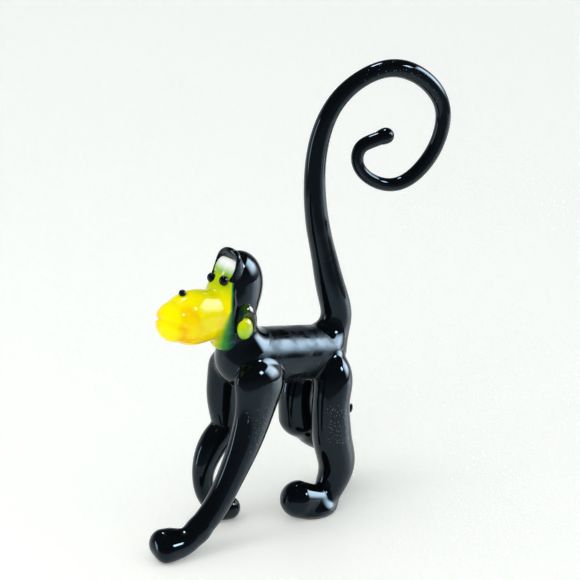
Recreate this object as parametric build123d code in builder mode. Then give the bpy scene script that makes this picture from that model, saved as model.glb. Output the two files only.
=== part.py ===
"""Lampworked glass monkey walking on all fours, with its tail curled high over its back.

Every piece is one gather or rod of glass. On the real animal they are fused hot, one onto
the next, so each piece here is its own solid and meets its neighbours face to face.
The animal faces -Y, its left side is +X, and its palms and soles stand on Z = 0.
"""

import os
from math import cos, radians, sin

from build123d import *

os.makedirs("parts", exist_ok=True)

# The shoulders' place over the origin, which is under the middle of the outer box
shoulder_back = 10.99
middle_shift = -0.31

# Trunk
shoulder_height = 39.4
hip_height = 35.3
trunk_length = 21.0
chest_radius = 6.5
rump_radius = 6.1
waist_radius = 6.4

# Arms
stance_half_width = 5.8
left_hand_reach = 25.2
elbow_reach = 7.1
shoulder_half_depth = 5.6
shoulder_half_width = 3.3
left_paw_radius = 3.8
right_paw_radius = 2.8
right_paw_length = 3.8
right_wrist_radius = 2.6

# Legs
thigh_radius = 4.3
left_foot_length = 9.4
right_leg_trail = 10.0
right_foot_length = 6.4
right_foot_turn = 35.0
left_toe_radius = 3.9
left_heel_radius = 3.65
right_heel_radius = 3.05
knee_radius = 4.6
right_toe_radius = 3.2
sole_depth = 0.35

# Head
head_forward = 1.2
head_rise = 17.2
head_turn = 4.0
skull_half_width = 4.7
skull_half_depth = 6.0
skull_half_height = 7.5
neck_half_width = 4.3
neck_half_depth = 5.3
skull_forward = 0.5
face_start = 4.8
muzzle_start = 8.6
forehead_slope = 56.0
forehead_forward = 4.2
forehead_rise = 2.9
snout_base = 9.8
snout_length = 17.2
snout_height = 12.0
snout_half_width = 4.3
mouth_radius = 0.9
mouth_depth = 0.4
mouth_up_share = 0.40
patch_width = 5.0
patch_height = 3.3
patch_corner = 0.8
patch_depth = 0.9
patch_stand = 0.35
brow_side = 0.65
brow_top = 2.2
brow_thickness = 1.1
eye_radius = 1.0
eye_spacing = 4.1
eye_drop = 1.5
eye_stand = 0.3
nose_radius = 0.8
nose_along_share = 0.70
nose_up_share = 0.97
ear_along_share = 0.50
ear_drop_share = 0.88
ear_half_height = 3.8
ear_half_depth = 2.6
ear_thickness = 1.7
ear_sunk = 1.4
lobe_half_height = 2.4
lobe_half_depth = 1.8
lobe_thickness = 1.3
lobe_sunk = 0.7

# Tail
tail_rise = 58.6
tail_reach = 25.0
tail_turn = 20.0
tail_lean = 45.0
tail_root_radius = 3.25
tail_tip_radius = 2.0
knob_out_share = 0.7

left = Vector(1, 0, 0)


def body_point(forward, side, up):
    """A point of the body, ahead of the shoulders, to the animal's left, above the floor."""
    return Vector(side + middle_shift, -forward - shoulder_back, up)


def route_planes(points, side):
    """A plane across the route at each of its points, with its x axis near the side direction."""
    route = Spline(*points, mode=Mode.PRIVATE)
    planes = []
    for point in points:
        along = route % route.param_at_point(point)
        across = (side - along * side.dot(along)).normalized()
        planes.append(Plane(origin=point, x_dir=across, z_dir=along))
    return planes


def draw_rod(sections, neighbours=(), ball=0, on_floor=False):
    """One rod of glass through oval sections, with a ball melted up at its free end.

    It is cut back where it is fused to its neighbours, and its sole is cut flat on the floor.
    """
    with BuildPart() as rod:
        for plane, half_width, half_depth in sections:
            with BuildSketch(plane):
                Ellipse(half_width, half_depth)
        loft()
        if ball:
            with Locations(sections[-1][0].origin):
                Sphere(ball)
        for neighbour in neighbours:
            add(neighbour.part, mode=Mode.SUBTRACT)
        if on_floor:
            split(bisect_by=Plane.XY, keep=Keep.TOP)
    return rod


# Trunk, one gather turned about the line from the rump up to the shoulders
chest_middle = body_point(0, 0, shoulder_height)
rump_middle = body_point(-trunk_length, 0, hip_height)
trunk_line = (chest_middle - rump_middle).normalized()
trunk_span = (chest_middle - rump_middle).length
with BuildPart() as torso:
    with BuildSketch(Plane(origin=rump_middle, x_dir=trunk_line, z_dir=left)):
        with BuildLine():
            rear = Vector(-rump_radius, 0)
            front = Vector(trunk_span + chest_radius, 0)
            Spline(
                rear,
                Vector(0, rump_radius),
                Vector(trunk_span / 2, waist_radius),
                Vector(trunk_span, chest_radius),
                front,
                tangents=((0, 1), (0, -1)),
            )
            Line(front, rear)
        make_face()
    revolve(axis=Axis(rump_middle, trunk_line))

# Left arm and paw, one long reach forward. Each row: forward share of the reach, height
# share, side share of the stance, and the shares of the shoulder lobe's width and depth
left_arm_shares = (
    (-0.010, 1.000, 0.50, 0.60, 0.50),
    (0.000, 0.945, 0.88, 1.00, 1.00),
    (0.035, 0.810, 1.03, 1.03, 0.76),
    (0.165, 0.590, 1.03, 0.96, 0.61),
    (0.345, 0.390, 0.98, 0.90, 0.53),
    (0.530, 0.220, 0.90, 0.83, 0.49),
    (0.680, 0.130, 0.83, 0.82, 0.48),
)
left_paw_shares = (
    (0.840, 0.094, 0.78, 0.82),
    (1.000, 0.088, 0.76, 0.88),
)
left_arm_points = [
    body_point(forward * left_hand_reach, across * stance_half_width, up * shoulder_height)
    for forward, up, across, wide, deep in left_arm_shares
]
left_paw_points = [
    body_point(forward * left_hand_reach, across * stance_half_width, up * shoulder_height)
    for forward, up, across, full in left_paw_shares
]
left_reach_planes = route_planes(left_arm_points + left_paw_points, left)
left_arm_sections = [
    (plane, wide * shoulder_half_width, deep * shoulder_half_depth)
    for plane, (forward, up, across, wide, deep) in zip(left_reach_planes, left_arm_shares)
]
left_arm = draw_rod(left_arm_sections, [torso])

left_paw_sections = [left_arm_sections[-1]]
for plane, share_row in zip(left_reach_planes[len(left_arm_shares):], left_paw_shares):
    radius = share_row[-1] * left_paw_radius
    left_paw_sections.append((plane, radius, radius))
left_hand = draw_rod(left_paw_sections, ball=left_paw_radius, on_floor=True)

# Right arm. Its upper arm hangs straight and ends in a blunt elbow
right_upper_arm_shares = (
    (-0.020, 1.000, -0.50, 0.60, 0.50),
    (0.000, 0.950, -0.88, 1.00, 0.80),
    (0.100, 0.860, -1.02, 1.03, 0.76),
    (0.150, 0.760, -1.04, 1.03, 0.72),
    (0.100, 0.640, -1.04, 1.00, 0.66),
    (0.050, 0.540, -1.03, 0.93, 0.56),
)
right_upper_arm_points = [
    body_point(forward * elbow_reach, across * stance_half_width, up * shoulder_height)
    for forward, up, across, wide, deep in right_upper_arm_shares
]
right_upper_arm_sections = [
    (plane, wide * shoulder_half_width, deep * shoulder_half_depth)
    for plane, (forward, up, across, wide, deep) in zip(
        route_planes(right_upper_arm_points, left), right_upper_arm_shares
    )
]
right_upper_arm = draw_rod(right_upper_arm_sections, [torso])

# The forearm bows forward from the elbow. Each row: forward share of the bow, height share,
# side share, and the share of the upper arm's end width
right_forearm_shares = (
    (-0.050, 0.560, -1.03, 0.90),
    (0.420, 0.490, -1.05, 1.03),
    (0.830, 0.390, -1.06, 0.93),
    (1.000, 0.275, -1.05, 0.75),
    (0.900, 0.180, -1.02, 0.73),
    (0.700, 0.118, -0.98, 0.77),
)
forearm_radius = right_upper_arm_sections[-1][2]
right_forearm_points = [
    body_point(forward * elbow_reach, across * stance_half_width, up * shoulder_height)
    for forward, up, across, full in right_forearm_shares
]
right_forearm_sections = [
    (plane, full * forearm_radius, full * forearm_radius)
    for plane, (forward, up, across, full) in zip(
        route_planes(right_forearm_points, left), right_forearm_shares
    )
]
right_forearm = draw_rod(right_forearm_sections, [right_upper_arm], ball=right_wrist_radius)

# The right paw curls back from the wrist. Each row: shares of its length to the left and
# back, and the share of its radius
wrist = right_forearm_points[-1]
paw_height = right_paw_radius - sole_depth
right_paw_shares = ((0.0, 0.0, 0.80), (0.2, 0.5, 0.82), (0.3, 1.0, 0.88))
right_paw_points = [
    Vector(wrist.X + across * right_paw_length, wrist.Y + back * right_paw_length, paw_height)
    for across, back, full in right_paw_shares
]
right_paw_sections = [
    (plane, full * right_paw_radius, full * right_paw_radius)
    for plane, (across, back, full) in zip(
        route_planes(right_paw_points, left), right_paw_shares
    )
]
right_hand = draw_rod(
    right_paw_sections, [right_forearm], ball=right_paw_radius, on_floor=True
)


# Legs. Each row: ahead share, height share of the hips, side share, share of the thigh
def leg_sections(shares, reach):
    """Round sections down a leg, its forward places measured from the hips."""
    points = [
        body_point(ahead * reach - trunk_length, across * stance_half_width, up * hip_height)
        for ahead, up, across, full in shares
    ]
    return [
        (plane, full * thigh_radius, full * thigh_radius)
        for plane, (ahead, up, across, full) in zip(route_planes(points, left), shares)
    ]


left_leg_shares = (
    (-0.08, 0.990, 0.50, 0.70),
    (0.00, 0.900, 0.86, 0.97),
    (0.12, 0.740, 0.98, 0.98),
    (0.13, 0.590, 0.98, 1.02),
    (0.04, 0.435, 0.96, 1.02),
    (-0.07, 0.280, 0.94, 0.95),
    (-0.05, 0.180, 0.92, 0.86),
    (0.02, 0.095, 0.90, 0.76),
)
left_leg_sections = leg_sections(left_leg_shares, left_foot_length)
left_leg = draw_rod(left_leg_sections, [torso], ball=left_heel_radius, on_floor=True)

# A foot's rows: shares of its length forward and to the left, of the toe's height and radius
left_foot_shares = ((0.0, 0.00, 0.95, 0.78), (0.5, 0.00, 0.87, 0.80), (1.0, -0.06, 1.00, 0.88))
left_heel = left_leg_sections[-1][0].origin
toe_height = left_toe_radius - sole_depth
left_foot_points = [
    Vector(left_heel.X + across * left_foot_length, left_heel.Y - ahead * left_foot_length,
           up * toe_height)
    for ahead, across, up, full in left_foot_shares
]
left_foot_sections = [
    (plane, full * left_toe_radius, full * left_toe_radius)
    for plane, (ahead, across, up, full) in zip(
        route_planes(left_foot_points, left), left_foot_shares
    )
]
left_foot = draw_rod(left_foot_sections, [left_leg], ball=left_toe_radius, on_floor=True)

right_thigh_shares = (
    (-0.13, 0.970, -0.50, 0.70),
    (-0.03, 0.860, -0.86, 0.98),
    (0.17, 0.690, -0.90, 0.98),
    (0.14, 0.530, -0.90, 1.00),
)
right_thigh_sections = leg_sections(right_thigh_shares, right_leg_trail)
right_thigh = draw_rod(right_thigh_sections, [torso], ball=knee_radius)

right_shin_shares = (
    (0.05, 0.500, -0.90, 0.85),
    (-0.35, 0.400, -0.88, 0.93),
    (-0.78, 0.300, -0.87, 0.82),
    (-0.98, 0.190, -0.86, 0.70),
    (-0.98, 0.090, -0.84, 0.66),
)
right_shin_sections = leg_sections(right_shin_shares, right_leg_trail)
right_shin = draw_rod(
    right_shin_sections, [right_thigh], ball=right_heel_radius, on_floor=True
)

right_foot_shares = ((0.0, 0.80), (0.5, 0.82), (1.0, 0.88))
right_heel = right_shin_sections[-1][0].origin
right_toe_height = right_toe_radius - sole_depth
right_foot_line = Vector(sin(radians(right_foot_turn)), -cos(radians(right_foot_turn)), 0)
right_foot_points = [
    Vector(right_heel.X, right_heel.Y, right_toe_height) + right_foot_line * far
    for far in [ahead * right_foot_length for ahead, full in right_foot_shares]
]
right_foot_sections = [
    (plane, full * right_toe_radius, full * right_toe_radius)
    for plane, (ahead, full) in zip(route_planes(right_foot_points, left), right_foot_shares)
]
right_foot = draw_rod(
    right_foot_sections, [right_shin], ball=right_toe_radius, on_floor=True
)

# Tail, a long rod in one upright plane, up from the rump, over and round to its knob.
# Each row: back share of the reach, up share of the rise, share of the root's radius
tail_shares = (
    (-0.120, -0.075, 0.80),
    (0.020, 0.020, 1.00),
    (-0.020, 0.160, 1.00),
    (-0.085, 0.285, 0.88),
    (-0.145, 0.410, 0.81),
    (-0.180, 0.570, 0.75),
    (-0.135, 0.755, 0.67),
    (0.005, 0.885, 0.61),
    (0.235, 0.968, 0.58),
    (0.540, 1.000, 0.61),
    (0.835, 0.945, 0.61),
    (1.015, 0.820, 0.54),
    (0.985, 0.715, 0.51),
    (0.845, 0.615, 0.52),
    (0.600, 0.550, 0.47),
    (0.370, 0.572, 0.42),
    (0.215, 0.665, 0.39),
    (0.250, 0.712, 0.39),
    (0.335, 0.728, 0.40),
    (0.430, 0.737, 0.43),
)
tail_line = Vector(sin(radians(tail_turn)), cos(radians(tail_turn)), 0)
tail_side = Vector(cos(radians(tail_turn)), -sin(radians(tail_turn)), 0)
tail_root = rump_middle + Vector(
    0, rump_radius * cos(radians(tail_lean)), rump_radius * sin(radians(tail_lean))
)
tail_points = [
    tail_root + tail_line * (back * tail_reach) + Vector(0, 0, up * tail_rise)
    for back, up, full in tail_shares
]
tail_sections = [
    (plane, full * tail_root_radius, full * tail_root_radius)
    for plane, (back, up, full) in zip(route_planes(tail_points, tail_side), tail_shares)
]
tail = draw_rod(tail_sections, [torso])

# The tail ends in a small round knob
tail_end = tail_sections[-1][0]
with BuildPart() as tail_knob:
    with Locations(tail_end.origin + tail_end.z_dir * tail_tip_radius * knob_out_share):
        Sphere(tail_tip_radius)
    add(tail.part, mode=Mode.SUBTRACT)

# Head, in its own frame, turned a little to the animal's left
head_middle = body_point(head_forward, 0, shoulder_height + head_rise)
ahead = Vector(sin(radians(head_turn)), -cos(radians(head_turn)), 0)
beside = Vector(cos(radians(head_turn)), sin(radians(head_turn)), 0)
upward = Vector(0, 0, 1)


def head_point(forward, side, up):
    """A point of the head, ahead of its middle, to the animal's left, above its middle."""
    return head_middle + ahead * forward + beside * side + upward * up


def side_plane(side):
    """An upright plane along the head, its x axis forward and its y axis up."""
    return Plane(origin=head_point(0, side, 0), x_dir=ahead, z_dir=beside * -1)


# The head's flat joints: upright behind the face, upright behind the muzzle, and along the
# slanted forehead, which carries the patch and the brow
face_back = Plane(origin=head_point(face_start, 0, 0), x_dir=beside, z_dir=ahead)
muzzle_back = Plane(origin=head_point(muzzle_start, 0, 0), x_dir=beside, z_dir=ahead)
forehead_up = snout_height + forehead_rise - snout_base
slope_normal = ahead * sin(radians(forehead_slope)) + upward * cos(radians(forehead_slope))
forehead = Plane(
    origin=head_point(forehead_forward, 0, forehead_up), x_dir=beside, z_dir=slope_normal
)

# Neck, an oval stub from the chest up into the head
neck_shares = (
    (0.00, 0.00, 1.03, 1.05),
    (0.20, 0.35, 1.00, 1.00),
    (0.40, 0.70, 0.95, 0.96),
    (0.55, 1.00, 0.82, 0.84),
)
neck_rise = head_rise - skull_half_height / 2
neck_points = [
    body_point(forward * neck_half_depth, 0, shoulder_height + up * neck_rise)
    for forward, up, wide, deep in neck_shares
]
neck_sections = [
    (plane, wide * neck_half_width, deep * neck_half_depth)
    for plane, (forward, up, wide, deep) in zip(route_planes(neck_points, left), neck_shares)
]
neck = draw_rod(neck_sections, [torso])

# White patch, a plate let into the slanted forehead
with BuildPart() as forehead_patch:
    with BuildSketch(forehead.offset(-patch_depth)):
        RectangleRounded(patch_width, patch_height, patch_corner)
    extrude(amount=patch_depth + patch_stand)

# Hood, the black back and crown of the head, an egg cut flat where the face is fused on.
# A cut's block is this large, so that it runs past all of the head
cut_reach = 4 * skull_half_height
egg = Pos(head_point(skull_forward, 0, 0)) * Rot(0, 0, head_turn) * scale(
    Sphere(1), by=(skull_half_width, skull_half_depth, skull_half_height)
)
with BuildPart() as head_hood:
    add(egg)
    for cut in (face_back, forehead):
        with BuildSketch(cut):
            Rectangle(cut_reach, cut_reach)
        extrude(amount=cut_reach, mode=Mode.SUBTRACT)
    add(neck.part, mode=Mode.SUBTRACT)
    add(forehead_patch.part, mode=Mode.SUBTRACT)

# Face and muzzle, one soft snout that swells from cheek to cheek, parted behind the muzzle.
# Shares of the snout's length ahead of the hood, and of its height above its base
snout_shares = (
    (-0.06, 1.32),
    (0.025, 1.16),
    (0.10, 1.015),
    (0.17, 0.905),
    (0.27, 0.86),
    (0.38, 0.88),
    (0.545, 0.95),
    (0.70, 0.97),
    (0.83, 0.87),
    (0.915, 0.69),
    (0.975, 0.48),
    (1.00, 0.33),
    (0.95, 0.19),
    (0.84, 0.10),
    (0.645, 0.01),
    (0.44, 0.00),
    (0.25, 0.03),
    (0.00, 0.02),
    (-0.24, 0.30),
    (-0.26, 0.90),
)
snout_outline = [
    Vector(face_start + along * snout_length, up * snout_height - snout_base)
    for along, up in snout_shares
]
middle_along_share = 0.45
middle_up_share = 0.50
snout_middle = Vector(
    face_start + snout_length * middle_along_share, snout_height * middle_up_share - snout_base
)

# How the snout's outline shrinks towards its two cheeks: side share, outline share
cheek_shares = (
    (-1.00, 0.35),
    (-0.92, 0.66),
    (-0.72, 0.86),
    (-0.40, 0.97),
    (0.00, 1.00),
    (0.40, 0.97),
    (0.72, 0.86),
    (0.92, 0.66),
    (1.00, 0.35),
)
with BuildPart() as snout:
    for side_share, outline_share in cheek_shares:
        with BuildSketch(side_plane(side_share * snout_half_width)):
            with BuildLine():
                Spline(
                    *[
                        snout_middle + (point - snout_middle) * outline_share
                        for point in snout_outline
                    ],
                    periodic=True,
                )
            make_face()
    loft()
    with BuildSketch(face_back):
        Rectangle(cut_reach, cut_reach)
    extrude(amount=-cut_reach, mode=Mode.SUBTRACT)
with BuildPart() as face_core:
    add(snout.part)
    with BuildSketch(muzzle_back):
        Rectangle(cut_reach, cut_reach)
    extrude(amount=cut_reach, mode=Mode.SUBTRACT)
    add(neck.part, mode=Mode.SUBTRACT)
    add(forehead_patch.part, mode=Mode.SUBTRACT)

# The mouth is a shallow groove across the front of the muzzle
mouth_forward = face_start + snout_length + mouth_radius - mouth_depth
mouth_middle = head_point(mouth_forward, 0, snout_height * mouth_up_share - snout_base)
with BuildPart() as muzzle:
    add(snout.part)
    with BuildSketch(muzzle_back):
        Rectangle(cut_reach, cut_reach)
    extrude(amount=-cut_reach, mode=Mode.SUBTRACT)
    with BuildSketch(Plane(origin=mouth_middle, x_dir=ahead, z_dir=beside)):
        Circle(mouth_radius)
    extrude(amount=snout_half_width, both=True, mode=Mode.SUBTRACT)

# Dark brow, an arched plate over the top and both sides of the patch
with BuildPart() as brow_band:
    with BuildSketch(forehead.offset(-patch_depth)):
        with Locations((0, -patch_height / 2)):
            Ellipse(patch_width / 2 + brow_side, patch_height + brow_top)
            Rectangle(
                cut_reach, cut_reach, align=(Align.CENTER, Align.MAX), mode=Mode.SUBTRACT
            )
    extrude(amount=patch_depth + brow_thickness)
    for neighbour in (forehead_patch, head_hood, face_core):
        add(neighbour.part, mode=Mode.SUBTRACT)


def draw_bead(place, radius, neighbours):
    """A dot of glass melted onto its neighbours."""
    with BuildPart() as bead:
        with Locations(place):
            Sphere(radius)
        for neighbour in neighbours:
            add(neighbour.part, mode=Mode.SUBTRACT)
    return bead


eye_neighbours = [face_core, head_hood, brow_band, forehead_patch]
eye_down = patch_height / 2 + eye_drop
left_eye_middle = forehead.from_local_coords(Vector(eye_spacing / 2, -eye_down, eye_stand))
right_eye_middle = forehead.from_local_coords(Vector(-eye_spacing / 2, -eye_down, eye_stand))
left_eye = draw_bead(left_eye_middle, eye_radius, eye_neighbours)
right_eye = draw_bead(right_eye_middle, eye_radius, eye_neighbours)
nose_middle = head_point(
    face_start + snout_length * nose_along_share,
    0,
    snout_height * nose_up_share + nose_radius / 3 - snout_base,
)
nose_bead = draw_bead(nose_middle, nose_radius, [muzzle])


# Ears, an oval shell against the side of the head and a pale lobe pressed onto it. A pad's
# rows: share of its thickness outwards, share of its half sizes there
sunk_share = 0.82
pad_shares = ((0.20, 1.00), (0.60, 0.90), (0.88, 0.66), (1.00, 0.30))
lobe_out_share = 0.60
lobe_ahead_share = 0.25
lobe_drop_share = 0.38


def draw_pad(middle, out, half_depth, half_height, thickness, sunk, neighbours):
    """An oval pad of glass with a rounded face, sunk a little behind its middle."""
    base = Plane(origin=middle, x_dir=ahead, z_dir=out)
    sections = [
        (base.offset(-sunk), half_depth * sunk_share, half_height * sunk_share)
    ]
    for rise_share, size_share in pad_shares:
        sections.append(
            (base.offset(thickness * rise_share), half_depth * size_share,
             half_height * size_share)
        )
    return draw_rod(sections, neighbours)


ears = {}
for side_name, sign in (("left", 1), ("right", -1)):
    out = beside * sign
    shell_middle = head_point(
        skull_half_depth * ear_along_share,
        sign * neck_half_width,
        -skull_half_height * ear_drop_share,
    )
    lobe_middle = (
        shell_middle
        + out * ear_thickness * lobe_out_share
        + ahead * ear_half_depth * lobe_ahead_share
        - upward * ear_half_height * lobe_drop_share
    )
    shell = draw_pad(
        shell_middle, out, ear_half_depth, ear_half_height, ear_thickness, ear_sunk,
        [head_hood, neck, face_core, torso],
    )
    lobe = draw_pad(
        lobe_middle, out, lobe_half_depth, lobe_half_height, lobe_thickness, lobe_sunk,
        [shell],
    )
    ears[side_name] = (shell, lobe)

left_ear_shell, left_ear_lobe = ears["left"]
right_ear_shell, right_ear_lobe = ears["right"]

pieces = {
    "torso": torso,
    "neck": neck,
    "head_hood": head_hood,
    "face_core": face_core,
    "muzzle": muzzle,
    "forehead_patch": forehead_patch,
    "brow_band": brow_band,
    "left_eye": left_eye,
    "right_eye": right_eye,
    "nose_bead": nose_bead,
    "left_ear_shell": left_ear_shell,
    "left_ear_lobe": left_ear_lobe,
    "right_ear_shell": right_ear_shell,
    "right_ear_lobe": right_ear_lobe,
    "left_arm": left_arm,
    "left_hand": left_hand,
    "right_upper_arm": right_upper_arm,
    "right_forearm": right_forearm,
    "right_hand": right_hand,
    "left_leg": left_leg,
    "left_foot": left_foot,
    "right_thigh": right_thigh,
    "right_shin": right_shin,
    "right_foot": right_foot,
    "tail": tail,
    "tail_knob": tail_knob,
}
for name, piece in pieces.items():
    piece.part.label = name
    export_step(piece.part, f"parts/{name}.step")
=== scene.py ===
"""Lampworked glass monkey, built piece by piece as a glass maker melts it together.

Each piece is a smooth form of molten glass. Its skin is drawn out a little way over the
pieces it is fused to, so that the joins flow or crease as they do on the real figurine.
Forms are worked out in millimetres and their meshes are made in metres.
"""

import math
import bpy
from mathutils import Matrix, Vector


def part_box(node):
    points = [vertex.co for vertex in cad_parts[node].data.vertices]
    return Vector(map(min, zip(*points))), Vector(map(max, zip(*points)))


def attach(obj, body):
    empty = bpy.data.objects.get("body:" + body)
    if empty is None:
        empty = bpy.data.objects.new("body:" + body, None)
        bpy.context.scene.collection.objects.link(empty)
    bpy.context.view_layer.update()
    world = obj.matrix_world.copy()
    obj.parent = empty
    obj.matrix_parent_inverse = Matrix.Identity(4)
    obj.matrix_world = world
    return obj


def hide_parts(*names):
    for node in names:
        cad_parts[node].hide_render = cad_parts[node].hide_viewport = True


bl_info = {
    "name": "Lampworked glass monkey",
    "version": (1, 0, 0),
    "blender": (4, 5, 0),
    "location": "3D View > Sidebar > Glass",
    "description": "Makes a flame-worked glass monkey with a curled tail, and its studio",
    "category": "Add Mesh",
}

import bpy
import numpy as np
from mathutils import Vector

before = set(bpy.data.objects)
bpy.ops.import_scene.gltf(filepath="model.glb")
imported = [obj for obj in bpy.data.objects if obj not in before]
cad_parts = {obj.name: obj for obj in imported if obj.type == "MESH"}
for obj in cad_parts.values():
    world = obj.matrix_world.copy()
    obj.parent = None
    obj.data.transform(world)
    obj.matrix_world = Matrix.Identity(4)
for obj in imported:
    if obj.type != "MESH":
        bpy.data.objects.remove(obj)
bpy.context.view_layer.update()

MM = 0.001

# Settings of nodes that come back. The first takes one input times the next plus the third
SCALE_AND_ADD = {"operation": "MULTIPLY_ADD"}
MULTIPLY = {"operation": "MULTIPLY"}
DOT = {"operation": "DOT_PRODUCT"}
COLOUR_MIX = {"data_type": "RGBA"}
SMOOTH_RANGE = {"interpolation_type": "SMOOTHSTEP"}

# Rods: the spacing of their samples in millimetres and the fewest of them, the points that are
# worked on at once, the steps that better the nearest place on a rod, and the least bend that
# such a step is divided by
ROD_SPACING = 0.5
ROD_SAMPLES = 16
POINTS_AT_ONCE = 60000
NEAREST_ROUNDS = 4
LEAST_BEND = 0.2
TINY = 1e-6

# Skirts, in millimetres: how far one dips under what it laps over, and how far past its fillet
# it ends
SKIRT_DIP = 0.03
SKIRT_REST = 0.4

# Skins: the net's spacing in millimetres, the cells along a block's side, how many blocks from a
# block's middle the surface may be for the block to be filled in, the lengths in millimetres
# over which slopes are taken as the net settles, and the rounds that smooth the normals
SKIN_SPACING = 0.3
BLOCK = 4
NEAR_BLOCKS = 1.6
SETTLE_REACHES = (0.1, 0.05, 0.05)
NORMAL_REACH = 0.05
NORMAL_ROUNDS = 3
LEAST_STEEPNESS = 0.2


def linear(code, alpha=1.0):
    """An sRGB hex colour as linear red, green, blue and alpha."""
    values = [int(code[place:place + 2], 16) / 255 for place in (1, 3, 5)]
    return tuple(
        value / 12.92 if value <= 0.04045 else ((value + 0.055) / 1.055) ** 2.4
        for value in values
    ) + (alpha,)


def size(label, description, millimetres):
    """A length that a user can change, in metres."""
    return bpy.props.FloatProperty(
        name=label, description=description, default=millimetres * MM, min=0, unit="LENGTH",
        precision=4,
    )


def colour(label, description, code):
    """A colour that a user can change."""
    return bpy.props.FloatVectorProperty(
        name=label, description=description, default=linear(code), size=4, subtype="COLOR",
        min=0, max=1,
    )


class MonkeySizes(bpy.types.PropertyGroup):
    """The glass monkey's sizes."""

    shoulder_ahead: size("Shoulders ahead", "Shoulders ahead of the origin", 10.99)
    shoulder_height: size("Shoulder height", "Middle of the chest over the floor", 39.4)
    hip_height: size("Hip height", "Middle of the rump over the floor", 35.3)
    trunk_length: size("Trunk length", "Chest middle to rump middle, level", 21.0)
    chest_radius: size("Chest radius", "Radius of the trunk at the chest", 6.5)
    waist_radius: size("Waist radius", "Radius of the trunk at the waist", 6.35)
    rump_radius: size("Rump radius", "Radius of the trunk at the rump", 6.1)
    stance: size("Stance", "Half the distance between a left and a right limb", 5.8)
    arm_reach: size("Arm reach", "How far ahead of the shoulder the left hand stands", 25.2)
    elbow_reach: size("Elbow reach", "How far the right forearm bows forward", 7.1)
    shoulder_depth: size("Shoulder depth", "Half the depth of the left shoulder lobe", 5.6)
    shoulder_width: size("Shoulder width", "Half the thickness of a shoulder lobe", 3.3)
    thigh_radius: size("Thigh radius", "Radius of a leg at the thigh", 4.3)
    foot_length: size("Foot length", "Left heel to toe ball", 9.4)
    leg_trail: size("Leg trail", "How far the right foot trails behind the hip", 10.0)
    tail_rise: size("Tail rise", "Height of the tail over the rump", 58.6)
    tail_reach: size("Tail reach", "How far the tail curls back", 25.0)
    tail_radius: size("Tail radius", "Radius of the tail at its root", 3.25)
    head_height: size("Head height", "Middle of the head over the floor", 56.6)
    eye_radius: size("Eye radius", "Radius of an eye bead", 1.0)
    nose_radius: size("Nose radius", "Radius of the nose bead", 0.8)


class MonkeyColours(bpy.types.PropertyGroup):
    """The colours of the glass rods and of the studio."""

    black: colour("Black", "Opaque black rod", "#07090C")
    yellow: colour("Yellow", "Opaque yellow rod of the muzzle", "#FFF000")
    amber: colour("Amber", "Where the yellow was heated longer", "#FFC400")
    lime: colour("Lime", "Yellow over green", "#C8D400")
    leaf: colour("Leaf", "Green where the yellow thins out", "#3F8F35")
    teal: colour("Teal", "Bluish green at the throat", "#12463F")
    olive: colour("Olive", "Dark green of the ears", "#2C4A08")
    white: colour("White", "Opaque white rod of the forehead", "#FAFCFA")
    floor: colour("Floor", "Pale sheet that the figurine stands on", "#F4F6F3")


def mm(value):
    """A property's metres as millimetres."""
    return value / MM


class Form:
    """A body of molten glass: a signed distance in millimetres, and the box it lies in."""

    def __init__(self, distance, low, high):
        self.distance = distance
        self.low = np.array(low, float)
        self.high = np.array(high, float)


def bends_of(knots, rows):
    """Second derivatives of the natural cubic curve that passes through the rows."""
    count = len(knots)
    spans = np.diff(knots)
    matrix = np.eye(count)
    right = np.zeros_like(rows)
    for place in range(1, count - 1):
        before, after = spans[place - 1], spans[place]
        matrix[place, place - 1:place + 2] = before, 2 * (before + after), after
        slope_change = (rows[place + 1] - rows[place]) / after
        slope_change -= (rows[place] - rows[place - 1]) / before
        right[place] = 6 * slope_change
    return np.linalg.solve(matrix, right)


def flowing(rows):
    """The smooth curve through some rows, as a function of the way along it, and its length."""
    rows = np.array(rows, float)
    lengths = np.linalg.norm(np.diff(rows[:, :3], axis=0), axis=1)
    knots = np.concatenate([[0], np.cumsum(lengths)])
    bends = bends_of(knots, rows)

    def along(places):
        """The curve and its first two derivatives at places along it."""
        span = np.clip(np.searchsorted(knots, places, side="right") - 1, 0, len(knots) - 2)
        reach = (knots[span + 1] - knots[span])[:, None]
        ahead = (knots[span + 1] - places)[:, None]
        behind = (places - knots[span])[:, None]
        start, end = rows[span], rows[span + 1]
        bend_start, bend_end = bends[span], bends[span + 1]
        low = start / reach - bend_start * reach / 6
        high = end / reach - bend_end * reach / 6
        value = (bend_start * ahead ** 3 + bend_end * behind ** 3) / (6 * reach)
        value += low * ahead + high * behind
        first = (bend_end * behind ** 2 - bend_start * ahead ** 2) / (2 * reach) - low + high
        second = (bend_start * ahead + bend_end * behind) / reach
        return value, first, second

    return along, knots[-1]


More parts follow.
